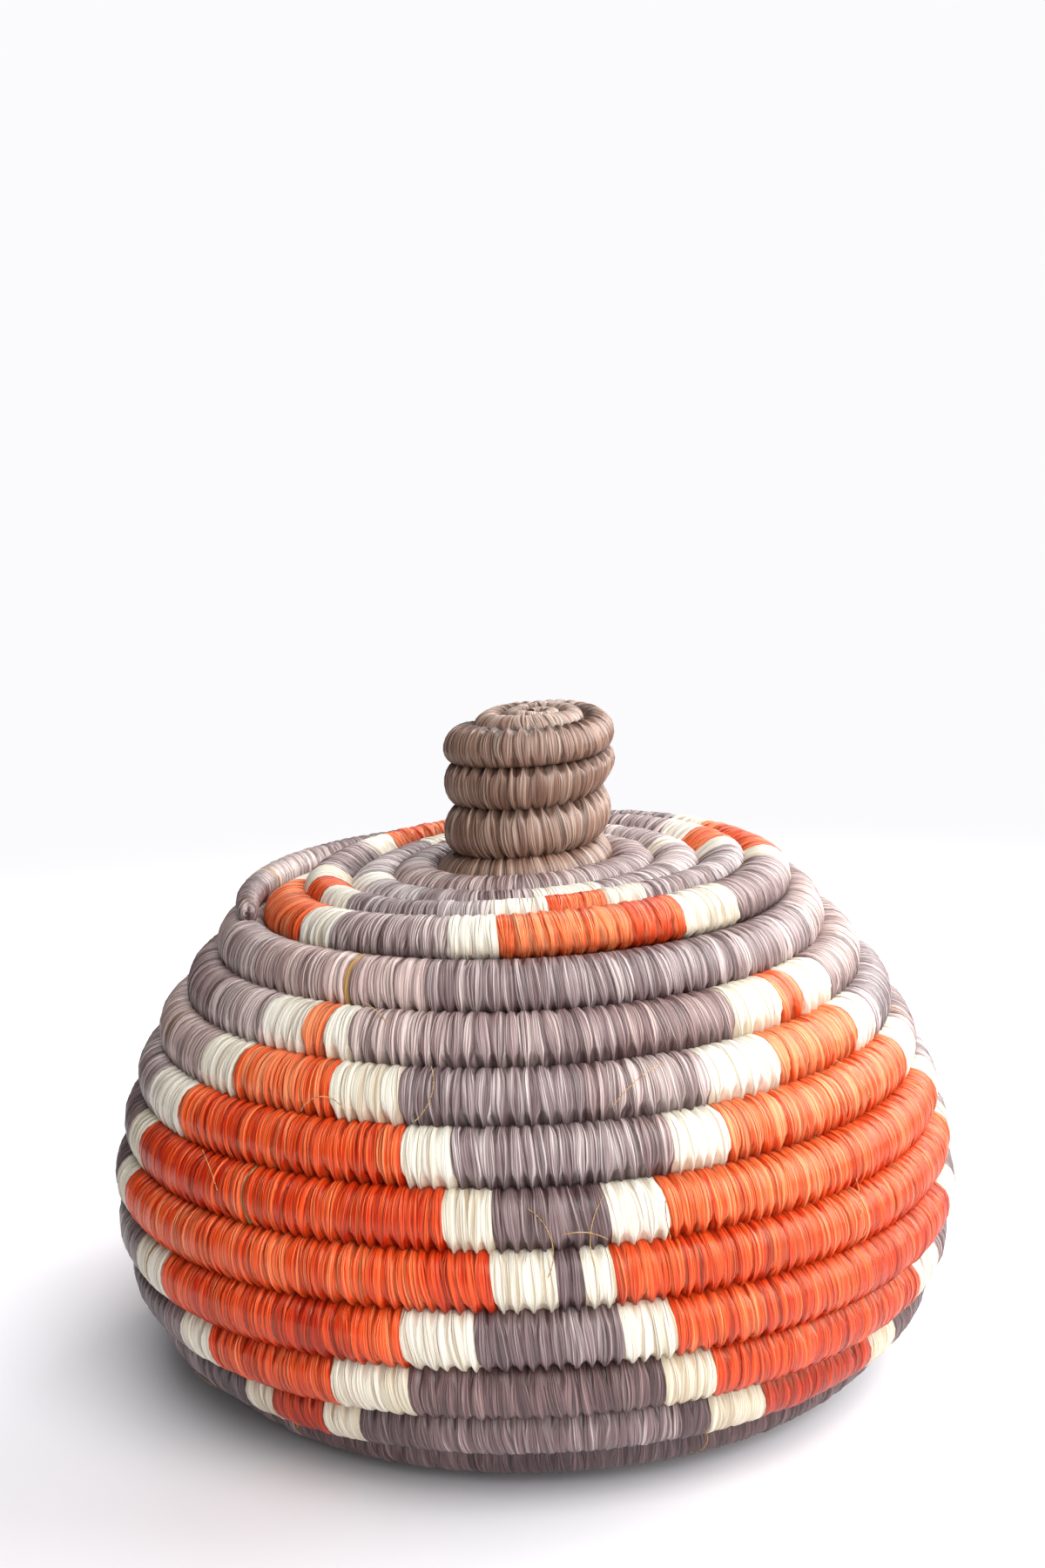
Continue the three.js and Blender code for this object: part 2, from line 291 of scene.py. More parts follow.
def body_outline():
    base = BODY_DEPTH / 2
    cut = -math.asin((WIDEST_HEIGHT - base) / BELLY_DROP)
    corner = WIDEST_RADIUS * math.cos(cut)
    belly_start = cut + math.radians(BASE_CORNER_ANGLE)
    belly = [
        (WIDEST_RADIUS * math.cos(angle), WIDEST_HEIGHT + BELLY_DROP * math.sin(angle))
        for angle in np.linspace(belly_start, 0, 200)
    ]
    corner_length = math.dist(belly[0], (corner, base))
    power = 2 / SHOULDER_FULLNESS
    mouth_angle = math.acos((MOUTH_RADIUS / WIDEST_RADIUS) ** (1 / power))
    shoulder = [
        (
            WIDEST_RADIUS * math.cos(angle) ** power,
            WIDEST_HEIGHT + SHOULDER_RISE * math.sin(angle) ** power,
        )
        for angle in np.linspace(0, mouth_angle, 200)
    ]
    foot = [(0, base), (corner - corner_length, base)]
    return Outline(foot + quadratic(foot[1], (corner, base), belly[0])[1:] + belly[1:] + shoulder[1:])


def lid_outline():
    slope = math.radians(PLATE_SLOPE)

    def drop(radius):
        return -KNOB_RISE - (radius - KNOB_RADIUS) * math.tan(slope)

    foot_end = KNOB_RADIUS + KNOB_FOOT_RADIUS
    edge_start = (KNOB_RADIUS - KNOB_EDGE_RADIUS, 0)
    edge_end = (KNOB_RADIUS, -KNOB_EDGE_RADIUS)
    foot_start = (KNOB_RADIUS, -KNOB_RISE + KNOB_FOOT_RADIUS)
    centre = (
        PLATE_RADIUS - EDGE_BEND_RADIUS * math.sin(slope),
        drop(PLATE_RADIUS) - EDGE_BEND_RADIUS * math.cos(slope),
    )
    bend_start = math.pi / 2 - slope
    bend = [
        (centre[0] + EDGE_BEND_RADIUS * math.cos(angle), centre[1] + EDGE_BEND_RADIUS * math.sin(angle))
        for angle in np.linspace(bend_start, bend_start - math.radians(EDGE_BEND), 40)
    ]
    return Outline(
        quadratic((0, KNOB_DOME), (edge_start[0] / 2, KNOB_DOME), edge_start)
        + quadratic(edge_start, (KNOB_RADIUS, 0), edge_end)[1:]
        + quadratic(foot_start, (KNOB_RADIUS, -KNOB_RISE), (foot_end, drop(foot_end)))
        + bend
    )


class Coil:
    """The centreline, width, depth and lie of a coil at close steps along it."""

    STEPS = 96  # per turn
    rounded_end = True

    def __init__(self, outline, pitch, depth, end_azimuth, direction, head, tail):
        self.outline = outline
        full = (pitch - TURN_GAP) / 2

        def thickness(i):
            grown = np.minimum(1, i / (head["turns"] * self.STEPS))
            return head["thickness"] + (1 - head["thickness"]) * grown

        def shift(radius):
            return head["shift"] * np.maximum(0, 1 - radius / head["radius"])

        def shift_angle(i):
            return math.tau * i / self.STEPS - math.radians(head["shift_turn"])

        start = full * head["thickness"] + AXIS_GAP
        first_turn = full * (thickness(0) + thickness(self.STEPS)) + TURN_GAP
        distances = []
        while True:
            i = len(distances)
            if i < self.STEPS:
                place = start + first_turn * i / self.STEPS
            else:
                span = full * (thickness(i - self.STEPS) + thickness(i)) + TURN_GAP
                facing = math.cos(shift_angle(i))
                inner = distances[i - self.STEPS]
                place = outline.reach(inner, span, lambda radius: facing * shift(radius))
            if place > outline.length:
                break
            distances.append(place)
        count = len(distances)
        last = count - 1
        steps = np.arange(count)
        middle = np.array([outline.at(d) for d in distances])
        off = shift(middle[:, 0])
        middle[:, 0] += off * np.cos(shift_angle(steps))
        self.aside = -direction * off * np.sin(shift_angle(steps))
        fade = np.maximum(0, 1 - (last - steps) / (tail["length"] / 360 * self.STEPS))
        share = thickness(steps) * (1 + (tail["thickness"] - 1) * fade)
        for i in np.nonzero(fade > 0)[0]:
            below = i - self.STEPS
            away = unit(middle[i] - middle[below])
            angle = -math.radians(tail["lean"]) * fade[i]
            turned = np.array([
                away[0] * math.cos(angle) - away[1] * math.sin(angle),
                away[0] * math.sin(angle) + away[1] * math.cos(angle),
            ])
            middle[i] = middle[below] + turned * (full * (share[below] + share[i]) + TURN_GAP)
        self.azimuth = end_azimuth + direction * (steps - last) * 360 / self.STEPS
        self.solid_width = share * full
        self.solid_depth = share * depth / 2
        strays = np.stack([self.wander(count), self.wander(count)], 1)
        self.middle = smooth(middle, self.STEPS // 16) + strays
        sewn = share * (1 + tail["swell"] * fade)
        self.half_width = sewn * (pitch / 2 + OVERLAP)
        self.half_depth = sewn * depth / 2 + self.wander(count)
        before = np.maximum(steps - self.STEPS, 0)
        after = np.minimum(steps + self.STEPS, last)
        along = self.middle[after] - self.middle[before]
        self.along = np.unwrap(np.arctan2(along[:, 1], along[:, 0]))
        points = place_in_space(self.middle[:, 0], self.middle[:, 1], np.radians(self.azimuth), self.aside)
        self.places = np.concatenate([[0], np.cumsum(np.linalg.norm(np.diff(points, axis=0), axis=1))])
        self.length = self.places[-1]
        self.direction = direction

    def wander(self, count):
        """How far the coil strays as it goes round, by a hand's unevenness."""
        knots = np.arange(0, count * 360 / self.STEPS + WANDER_ANGLE, WANDER_ANGLE)
        angles = np.arange(count) * 360 / self.STEPS
        window = int(WANDER_ANGLE / 720 * self.STEPS)
        strays = np.interp(angles, knots, WANDER * rng.standard_normal(len(knots)))
        return smooth(strays[:, None], window)[:, 0]

    def solid_top(self):
        """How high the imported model's coil reaches, whose section has six corners."""
        flat = math.cos(math.pi / 6)
        corners = [math.tau * side / 6 for side in range(6)]
        return max(np.max(
            self.middle[:, 1]
            + np.sin(self.along) * math.cos(corner) * self.solid_width
            + np.cos(self.along) * math.sin(corner) * self.solid_depth / flat
        ) for corner in corners)

    def at(self, name, place):
        values = getattr(self, name)
        if values.ndim == 1:
            return np.interp(place, self.places, values)
        columns = range(values.shape[1])
        return np.stack([np.interp(place, self.places, values[:, k]) for k in columns], -1)

    def raise_by(self, height):
        self.middle[:, 1] += height
        self.rise = height


def place_in_space(radius, height, azimuth, aside):
    """Points from their place in the half plane of their azimuth, in radians, and from how far aside of it
    they lie."""
    sine, cosine = np.sin(azimuth), np.cos(azimuth)
    return np.stack([radius * sine + aside * cosine, aside * sine - radius * cosine, height], -1)


def smooth(values, window):
    """A running mean whose ends stay where they are."""
    kernel = np.ones(2 * window + 1) / (2 * window + 1)
    padded = np.concatenate([
        2 * values[:1] - values[window:0:-1],
        values,
        2 * values[-1:] - values[-2:-window - 2:-1],
    ])
    return np.stack([np.convolve(padded[:, k], kernel, "valid") for k in range(values.shape[1])], 1)


class Stitches:
    """The stitches of a coil: where each begins, how it leans and how far it stands out."""

    def __init__(self, coil):
        count = int(coil.length / STITCH_WIDTH)
        widths = 1 + STITCH_SPREAD * rng.standard_normal(count).clip(-2, 2)
        self.gap = rng.random(count) < GAP_SHARE
        widths[self.gap] = GAP_WIDTH * rng.uniform(0.5, 1.5, self.gap.sum())
        edges = np.concatenate([[0], np.cumsum(widths)])
        self.edges = edges * coil.length / edges[-1]
        self.count = count
        kernel = np.ones(DRIFT_STITCHES) / math.sqrt(DRIFT_STITCHES)
        drift = np.convolve(rng.standard_normal(count + DRIFT_STITCHES - 1), kernel, "valid")
        own = rng.standard_normal(count)
        self.slant = SLANT + SLANT_SPREAD * (DRIFT_SHARE * drift + (1 - DRIFT_SHARE) * own)
        self.height = HEIGHT_SPREAD * rng.standard_normal(count) - GAP_DEPTH * self.gap
        self.ridges = RIDGE * rng.standard_normal((count, len(COLUMNS)))
        self.groove = rng.uniform(*GROOVE_SPREAD, count)
        self.tint = rng.random(count)
        self.strand = self.strands()
        self.warmth = self.strands()
        self.azimuth = coil.at("azimuth", (self.edges[:-1] + self.edges[1:]) / 2)

    def strands(self):
        """A value for each strand of raffia, given to every stitch that it lasts for."""
        values = np.empty(self.count)
        k = 0
        while k < self.count:
            length = int(rng.integers(*STRAND_STITCHES))
            values[k:k + length] = rng.random()
            k += length
        return values


def superellipse(angle):
    """The point of a squarish unit section at an angle, as its cosine and sine parts."""
    power = 2 / SQUARENESS
    c, s = np.cos(angle), np.sin(angle)
    return np.sign(c) * np.abs(c) ** power, np.sign(s) * np.abs(s) ** power


def skin_points(coil, stitches, chosen, outside, floor):
    """The skin's points for each chosen stitch, column across it and place round the section, and how far
    along the coil they would lie if the stitches neither narrowed nor slanted."""
    columns = np.array(COLUMNS)
    width = stitches.edges[chosen + 1] - stitches.edges[chosen]

    # how near each point of the section is to the crease it is sewn into, and to either of the two
    sewn = bell(FROM_SEWN, 1, SEWN_SPREAD)
    crease = np.maximum(sewn, bell(FROM_FREE, 1, FREE_SPREAD))
    sewn_end = 1 - eased(FROM_SEWN, *TOOTH_ANGLES)
    free_end = 1 - eased(FROM_FREE, *TOOTH_ANGLES)
    narrowing = TOOTH_NARROWING[0] * sewn_end + TOOTH_NARROWING[1] * free_end

    u = columns[None, :, None]
    squeezed = np.where(u > 0, 0.5 + (u - 0.5) * (1 - narrowing[None, None, :]), u)
    # a groove leans as the mean of the stitches beside it
    slant = stitches.slant[chosen]
    groove_slant = (slant + stitches.slant[np.maximum(chosen - 1, 0)]) / 2
    slants = np.where(columns[None, :] > 0, slant[:, None], groove_slant[:, None])
    lean = -np.cos(AROUND)[None, None, :] * slants[:, :, None]
    edge = stitches.edges[chosen][:, None, None]
    place = edge + squeezed * width[:, None, None] + lean
    place = np.clip(place, 0, coil.length)
    flat_place = np.broadcast_to(edge + u * width[:, None, None], place.shape)

    in_stitch = (columns > 0)[None, :, None]
    crown_groove = GROOVE[0] * stitches.groove[chosen][:, None, None] * (1 - crease)[None, None, :]
    # right in the seam between two turns the grooves close, so that no light comes through
    from_seam = np.minimum(FROM_FREE, FROM_SEWN)
    open_crease = np.maximum(sewn_end, FREE_GROOVE * free_end) * (1 - bell(from_seam, 1, SEAM_ANGLE))
    depth = crown_groove + GROOVE[1] * open_crease[None, None, :]
    bulge = np.interp(columns, FLANK_PLACES, FLANK_DEPTHS)[None, :, None] * depth
    bulge = bulge + stitches.ridges[chosen][:, :, None] * in_stitch
    bulge = bulge + stitches.height[chosen][:, None, None] * in_stitch * (1 - crease)[None, None, :]
    tip = (1 - (2 * columns - 1) ** 2)[None, :, None] * sewn[None, None, :] * TOOTH_REACH
    thin = np.interp(place, coil.places, coil.half_depth) / np.max(coil.half_depth)
    bulge = (bulge + tip * in_stitch) * thin

    blunt = 1
    if coil.rounded_end:
        last_ring = coil.length - (1 - COLUMNS[-1]) * STITCH_WIDTH
        into_end = 1 - (last_ring - flat_place) / END_ROUNDING
        blunt = np.sqrt(1 - into_end.clip(0, ROUNDED_SHARE) ** 2)
    c, s = superellipse(AROUND)
    half_width = (coil.at("half_width", place) * c + bulge * np.cos(AROUND)) * blunt
    half_depth = (coil.at("half_depth", place) * s + bulge * np.sin(AROUND)) * outside * blunt
    middle = coil.at("middle", place)
    along = coil.at("along", place)
    radius = middle[..., 0] + np.cos(along) * half_width - np.sin(along) * half_depth
    height = middle[..., 1] + np.sin(along) * half_width + np.cos(along) * half_depth
    if floor is not None:
        height = np.maximum(height, floor)
    azimuth = np.radians(coil.at("azimuth", place))
    return place_in_space(radius, height, azimuth, coil.at("aside", place)), flat_place


def skin_faces(rings, sides, reverse):
    """The skin's quads, and the fans that close its two ends round the two points that come after its
    rings."""
    ring = np.arange(rings - 1)[:, None] * sides
    side = np.arange(sides)
    beside = (side + 1) % sides
    quads = np.stack([ring + side, ring + beside, ring + sides + beside, ring + sides + side], -1)
    quads = quads.reshape(-1, 4)
    count = rings * sides
    first_cap = np.stack([np.full(sides, count), side, beside], -1)
    last_cap = np.stack([np.full(sides, count + 1), count - sides + side, count - sides + beside], -1)
    if reverse:
        return quads[:, ::-1], np.concatenate([first_cap[:, ::-1], last_cap])
    return quads, np.concatenate([first_cap, last_cap[:, ::-1]])


def write_shades(mesh, stitches, chosen, of_corner, corners, rings):
    """What the colour takes at each corner: the strand's shade, the stitch's, how much painted shade of the
    creases lies on the corner, and the strand's warmth."""
    zeros = np.zeros(len(chosen))
    shades = (stitches.strand[chosen], stitches.tint[chosen], zeros, stitches.warmth[chosen])
    tint = np.stack(shades, -1)[of_corner]
    # painted shade of the creases: it reaches further out in the notches between the stitches' ends than on
    # the ends themselves, and lies along the whole of each groove
    on_stitch = bell(FROM_SEWN, *CREASE_SHADE_ON_STITCH[0]) + bell(FROM_FREE, *CREASE_SHADE_ON_STITCH[1])
    in_notch = GROOVE_SHADE + bell(FROM_SEWN, *CREASE_SHADE_IN_NOTCH[0]) + bell(FROM_FREE, *CREASE_SHADE_IN_NOTCH[1])
    columns = np.array(COLUMNS)
    crease_shade = np.where((columns > 0)[:, None], on_stitch[None, :], in_notch[None, :]).clip(0, 1)
    crease_shade = np.broadcast_to(crease_shade[None], (len(chosen), *crease_shade.shape)).ravel()
    tint[:, 2] = np.concatenate([crease_shade[:rings * len(AROUND)], [0, 0]])[corners]
    attribute = mesh.color_attributes.new("strand", "FLOAT_COLOR", "CORNER")
    attribute.data.foreach_set("color", tint.astype(np.float32).ravel())


def write_fibre_map(mesh, coil, flat_place, corners, quad_count, rings):
    """The fibres' own coordinates: along the coil, and round it. They are returned in millimetres."""
    sides = len(AROUND)
    girth = math.tau * np.max(coil.half_depth)
    round_coil = np.broadcast_to(AROUND * np.max(coil.half_depth), flat_place.shape)
    uv = np.stack([flat_place.ravel(), round_coil.ravel()], -1)[:rings * sides]
    uv = np.concatenate([uv, [[0, 0], [0, 0]]])[corners]
    # the last strip of faces round the section runs on past the seam
    wraps = np.zeros(len(corners), bool)
    quad_corners = corners[:quad_count * 4]
    quad_side = np.arange(len(quad_corners)) // 4 % sides
    wraps[:len(quad_corners)] = (quad_side == sides - 1) & (quad_corners % sides == 0)
    uv[wraps, 1] += girth
    layer = mesh.uv_layers.new(name="fibres")
    layer.data.foreach_set("uv", (uv / MAP_UNIT).astype(np.float32).ravel())
    return uv


def stitch_mesh(name, coil, stitches, first, last, outside, materials, dye, floor=None):
    """The stitches from first up to last as one closed skin. outside is 1 where the coil's outer face lies
    to the left of its way along the outline, seen in the half plane, and -1 where it lies to the right.
    floor is the height below which the skin doesn't sink."""
    # the skin closes on the groove before the stitch after the last, where the next piece starts
    chosen = np.arange(first, min(last + 1, stitches.count))
    points, flat_place = skin_points(coil, stitches, chosen, outside, floor)
    rows, steps, sides = flat_place.shape
    rings = (last - first) * steps + (rows > last - first)
    points = points.reshape(-1, 3)[:rings * sides]
    centres = np.stack([points[:sides].mean(0), points[-sides:].mean(0)])
    points = np.concatenate([points, centres]) * MM
    quads, caps = skin_faces(rings, sides, coil.direction * outside > 0)
    corners = np.concatenate([quads.ravel(), caps.ravel()])
    starts = np.concatenate([np.arange(len(quads)) * 4, len(quads) * 4 + np.arange(len(caps)) * 3])
    # which of the chosen stitches each face and each corner belongs to
    of_quad = np.arange(len(quads)) // (sides * steps)
    of_cap = np.repeat([0, last - first - 1], sides)
    of_corner = np.concatenate([np.repeat(of_quad, 4), np.repeat(of_cap, 3)])
    dyes = dye[chosen][np.concatenate([of_quad, of_cap])]

    mesh = bpy.data.meshes.new(name)
    mesh.vertices.add(len(points))
    mesh.vertices.foreach_set("co", points.astype(np.float32).ravel())
    mesh.loops.add(len(corners))
    mesh.loops.foreach_set("vertex_index", corners.astype(np.int32))
    mesh.polygons.add(len(starts))
    mesh.polygons.foreach_set("loop_start", starts.astype(np.int32))
    mesh.polygons.foreach_set("use_smooth", np.ones(len(starts), bool))
    mesh.polygons.foreach_set("material_index", dyes.astype(np.int32))
    mesh.update(calc_edges=True)
    write_shades(mesh, stitches, chosen, of_corner, corners, rings)
    uv = write_fibre_map(mesh, coil, flat_place, corners, len(quads), rings)
    write_bake_map(mesh, coil, stitches, chosen[:last - first], uv, of_corner, len(caps) * 3)

    piece = bpy.data.objects.new(name, mesh)
    bpy.context.collection.objects.link(piece)
    for material in materials:
        mesh.materials.append(material)
    mesh.validate()
    return piece


def write_bake_map(mesh, coil, stitches, chosen, uv, of_corner, cap_corners):
    """A map for baking: the coil's skin laid flat in strips, one above the other in a square, with its two
    ends above them."""
    girth = math.tau * np.max(coil.half_depth) * BAKE_MARGIN
    starts = stitches.edges[chosen] - stitches.edges[chosen[0]]
    length = stitches.edges[chosen[-1] + 1] - stitches.edges[chosen[0]]
    strips = max(1, round(math.sqrt(length / girth)))
    strip = np.minimum((starts / length * strips).astype(int), strips - 1)
    first_place = np.array([starts[strip == k].min() for k in range(strips)])
    of_corner = strip[of_corner]
    flat = np.stack([
        uv[:, 0] - stitches.edges[chosen[0]] - first_place[of_corner],
        uv[:, 1] + of_corner * girth,
    ], 1)
    radius = girth / math.tau
    sides = len(AROUND)
    turn = np.arange(sides) * math.tau / sides
    step = math.tau / sides
    for end in (0, 1):
        fan = np.zeros((sides, 3, 2))
        for corner, angle in ((1, turn), (2, turn + step)):
            fan[:, corner] = radius * np.stack([np.cos(angle), np.sin(angle)], 1)
        fan += ((2 * end + 1) * radius * BAKE_MARGIN, strips * girth + radius)
        half = cap_corners // 2
        at = len(uv) - cap_corners + end * half
        flat[at:at + half] = fan.reshape(-1, 2)
    flat -= flat.min(0)
    layer = mesh.uv_layers.new(name="OFBake")
    layer.data.foreach_set("uv", (flat / flat.max()).astype(np.float32).ravel())


def settle(piece):
    """Lets the lid lie as it does in the photograph: low on its left, its knob wide on top and leaning."""
    points = np.empty(len(piece.data.vertices) * 3)
    piece.data.vertices.foreach_get("co", points)
    points = points.reshape(-1, 3) / MM
    side, height = points[:, 0].copy(), points[:, 2].copy()
    radius = np.hypot(side, points[:, 1])
    lean = eased(height, KNOB_LEAN_FROM, KNOB_LEAN_FROM + KNOB_LEAN_OVER)
    points[:, :2] *= (1 + KNOB_SPREAD * lean)[:, None]
    points[:, 0] += KNOB_LEAN * lean
    points[:, 2] += LID_TILT * side - LID_WARP * side ** 2
    points[:, 2] -= PLATE_SINK * (1 - eased(radius, *PLATE_SINK_RADII))
    up_knob = ((height - KNOB_FOOT) / (KNOB_TOP - KNOB_FOOT)).clip(0, 1)
    points[:, 2] += KNOB_STRETCH * up_knob ** KNOB_STRETCH_POWER
    piece.data.vertices.foreach_set("co", (points * MM).ravel())
    piece.data.update()


class Ring:
    """The coil of the locating ring, with what stitch_mesh asks of a coil. It is sewn to the lid above."""

    rounded_end = False

    def __init__(self, node, thickness):
        low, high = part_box(node)
        radius = (high.x - low.x) / 2 / MM - thickness / 2
        height = (high.z + low.z) / 2 / MM
        self.azimuth = np.linspace(RING_START, RING_END, RING_STEPS)
        self.middle = np.tile([radius, height], (RING_STEPS, 1))
        self.half_width = np.full(RING_STEPS, thickness / 2)
        self.half_depth = np.full(RING_STEPS, thickness / 2)
        self.along = np.full(RING_STEPS, -math.pi / 2)
        self.aside = np.zeros(RING_STEPS)
        self.places = np.radians(self.azimuth - self.azimuth[0]) * radius
        self.length = self.places[-1]
        self.direction = 1

    at = Coil.at


GREY, CREAM, ORANGE, STRAW = range(4)

# The body's diamonds: for each row from the second under the rim, the orange's two ends from the diamond's
# middle and the widths of the cream beside them, in degrees
LEFT_DIAMOND = [
    (-0.2, 5.0, 9.1, 4.8), (-9.0, 8.5, 10.9, 10.4), (-19.8, 19.6, 11.2, 7.6), (-29.1, 26.9, 6.8, 5.4),
    (-32.0, 31.8, 6.8, 7.1), (-18.5, 22.2, 7.7, 7.9), (-9.1, 11.3, 7.1, 10.5), (-0.6, 7.6, 5.7, 5.0),
]
RIGHT_DIAMOND = [
    (0.0, 5.5, 10.4, 8.0), (-7.2, 12.5, 12.9, 7.6), (-18.1, 23.5, 9.0, 8.0), (-27.7, 31.0, 7.1, 7.0),
    (-34.4, 34.0, 4.2, 6.0), (-28.2, 27.0, 6.2, 7.0), (-21.7, 16.7, 6.5, 8.0), (-12.5, 7.7, 8.5, 7.0),
]
BODY_MOTIFS = {-37.5: LEFT_DIAMOND, 44.0: RIGHT_DIAMOND, 137.0: LEFT_DIAMOND, -130.0: RIGHT_DIAMOND}

# The lid's triangles, from its outer turn inwards
FRONT_TRIANGLE = [(-20.0, 20.0, 9.8, 15.0), (-10.0, 5.0, 12.0, 13.0), (-1.5, -1.5, 11.5, 11.5)]
LEFT_TRIANGLE = [(-20.0, 24.5, 12.0, 10.5), (-3.0, 12.0, 12.0, 13.0), (0.0, 0.0, 7.5, 7.5)]
RIGHT_TRIANGLE = [(-11.0, 21.0, 12.0, 12.0), (-4.0, 11.0, 12.0, 13.0), (0.0, 0.0, 7.5, 7.5)]
BACK_TRIANGLE = [(-20.0, 27.0, 12.0, 9.0), (-7.5, 7.5, 12.0, 13.0), (0.0, 0.0, 7.5, 7.5)]
LID_MOTIFS = {13.0: FRONT_TRIANGLE, -80.0: LEFT_TRIANGLE, 103.0: RIGHT_TRIANGLE, 200.0: BACK_TRIANGLE}


def dye_of(stitches, motifs, front, first_row, direction):
    """The dye of each stitch. front is the unwrapped azimuth at which the coil passes the front for the
    last time, and first_row the turn, counted inwards from there, in which the motifs start."""
    dyes = np.full(stitches.count, GREY)
    for k, azimuth in enumerate(stitches.azimuth - front):
        centre = min(motifs, key=lambda c: abs((azimuth - c + 180) % 360 - 180))
        turn = round((azimuth - centre) / 360)
        offset = azimuth - centre - 360 * turn
        row = -turn * direction - first_row
        if not 0 <= row < len(motifs[centre]):
            continue
        low, high, cream_low, cream_high = motifs[centre][row]
        if low <= offset < high:
            dyes[k] = ORANGE
        elif low - cream_low <= offset < high + cream_high:
            dyes[k] = CREAM
    dyes[stitches.gap] = STRAW
    return dyes


def srgb(red, green, blue):
    """A colour written as it looks on a screen, 0 to 255, as the linear one that a shader takes."""
    channels = [c / 255 for c in (red, green, blue)]
    return [c / 12.92 if c <= 0.04045 else ((c + 0.055) / 1.055) ** 2.4 for c in channels] + [1.0]


def raffia(name, shades, shade_colour, depth, warm, roughness, shine, shine_tint, foot_shade=0.3):
    """Raffia of one dye. shades run from its darkest fibre to its palest. The colour after them is painted
    shade, put into the creases and into the open gaps between the fibres, and depth is how much of it goes
    into the creases. warm is what its warmest strands are multiplied by, and the last argument is painted
    light and shade over the height: how much of its range the raffia is made lighter up at the shoulder
    than down at the foot."""
    material = bpy.data.materials.new(name)
    material.use_nodes = True
    nodes, links = material.node_tree.nodes, material.node_tree.links
    shader = nodes["Principled BSDF"]
    shader.inputs["Specular IOR Level"].default_value = shine
    shader.inputs["Specular Tint"].default_value = (*shine_tint, 1)

    def node(kind, **settings):
        made = nodes.new(kind)
        for key, value in settings.items():
            setattr(made, key, value)
        return made

    def calc(operation, *values):
        made = node("ShaderNodeMath", operation=operation)
        for socket, value in zip(made.inputs, values):
            if isinstance(value, (int, float)):
                socket.default_value = value
            else:
                links.new(value, socket)
        return made.outputs[0]

    def centred(value, amount):
        """A value between 0 and 1 as one around 0 that ranges over the amount."""
        return calc("MULTIPLY_ADD", value, amount, -amount / 2)

    def noise(vector, grain, detail=0.0):
        """Noise drawn out along the fibres."""
        scaled = node("ShaderNodeVectorMath", operation="MULTIPLY")
        links.new(vector, scaled.inputs[0])
        scaled.inputs[1].default_value = (*grain, 1)
        made = node("ShaderNodeTexNoise", noise_dimensions="2D")
        made.inputs["Scale"].default_value = 1
        made.inputs["Detail"].default_value = detail
        links.new(scaled.outputs[0], made.inputs["Vector"])
        return made.outputs["Fac"]

    def ranged(value, low, high):
        """0 at low, 1 at high, and clamped outside."""
        made = node("ShaderNodeMapRange")
        made.inputs["From Min"].default_value = low
        made.inputs["From Max"].default_value = high
        links.new(value, made.inputs["Value"])
        return made.outputs[0]

    def mixed(factor, first, second, blend="MIX"):
        made = node("ShaderNodeMix", data_type="RGBA", blend_type=blend)
        for key, value in (("Factor", factor), ("A", first), ("B", second)):
            socket = made.inputs[key]
            if hasattr(value, "is_linked"):
                links.new(value, socket)
            else:
                socket.default_value = value
        return made.outputs["Result"]

    place = node("ShaderNodeUVMap", uv_map="fibres").outputs["UV"]
    attribute = node("ShaderNodeAttribute", attribute_name="strand")
    parts = node("ShaderNodeSeparateColor")
    links.new(attribute.outputs["Color"], parts.inputs[0])
    # the third channel is the painted shade of the creases, and the alpha is the strand's warmth
    strand, tint, crease_shade = parts.outputs
    warmth = attribute.outputs["Alpha"]

    position = node("ShaderNodeSeparateXYZ")
    links.new(node("ShaderNodeTexCoord").outputs["Object"], position.inputs[0])
    height = position.outputs[2]

    # the fibres wander a little to either side as they go round the coil
    drift = node("ShaderNodeCombineXYZ")
    links.new(calc("MULTIPLY", calc("SUBTRACT", noise(place, STRAY_GRAIN), 0.5), STRAY), drift.inputs[0])
    wandering = node("ShaderNodeVectorMath", operation="ADD")
    links.new(place, wandering.inputs[0])
    links.new(drift.outputs[0], wandering.inputs[1])
    wandering = wandering.outputs[0]
    folds = noise(wandering, FOLD_GRAIN, detail=1.0)
    fibres = noise(wandering, FIBRE_GRAIN, detail=2.0)
    gaps = ranged(noise(wandering, GAP_GRAIN), *GAP_RANGE)
    up_the_wall = ranged(height, *SHADE_HEIGHTS)

    shade = calc("ADD", centred(strand, STRAND_SHADE), centred(tint, STITCH_SHADE))
    # the folds bring in the middle shade, 0.5, too
    shade = calc("ADD", shade, calc("MULTIPLY_ADD", folds, FOLD_SHADE, 0.5 - FOLD_SHADE / 2))
    shade = calc("ADD", shade, centred(fibres, FIBRE_SHADE))
    # painted light and shade over the height: the raffia is lighter up the wall and darker towards the
    # foot, as the light falls
    shade = calc("ADD", shade, centred(up_the_wall, foot_shade))
    ramp = node("ShaderNodeValToRGB")
    ramp.color_ramp.elements[0].color = srgb(*shades[0])
    ramp.color_ramp.elements[1].color = srgb(*shades[-1])
    for k, colour in enumerate(shades[1:-1], 1):
        ramp.color_ramp.elements.new(k / (len(shades) - 1)).color = srgb(*colour)
    links.new(shade, ramp.inputs[0])
    colour = mixed(warmth, ramp.outputs[0], mixed(1.0, ramp.outputs[0], (*warm, 1), "MULTIPLY"))
    # painted shade: the creases and the open gaps between the fibres are mixed towards the shade colour
    painted_shade = calc("MAXIMUM", calc("MULTIPLY", crease_shade, depth), calc("MULTIPLY", gaps, GAP_SHADE))
    links.new(mixed(painted_shade, colour, srgb(*shade_colour)), shader.inputs["Base Color"])

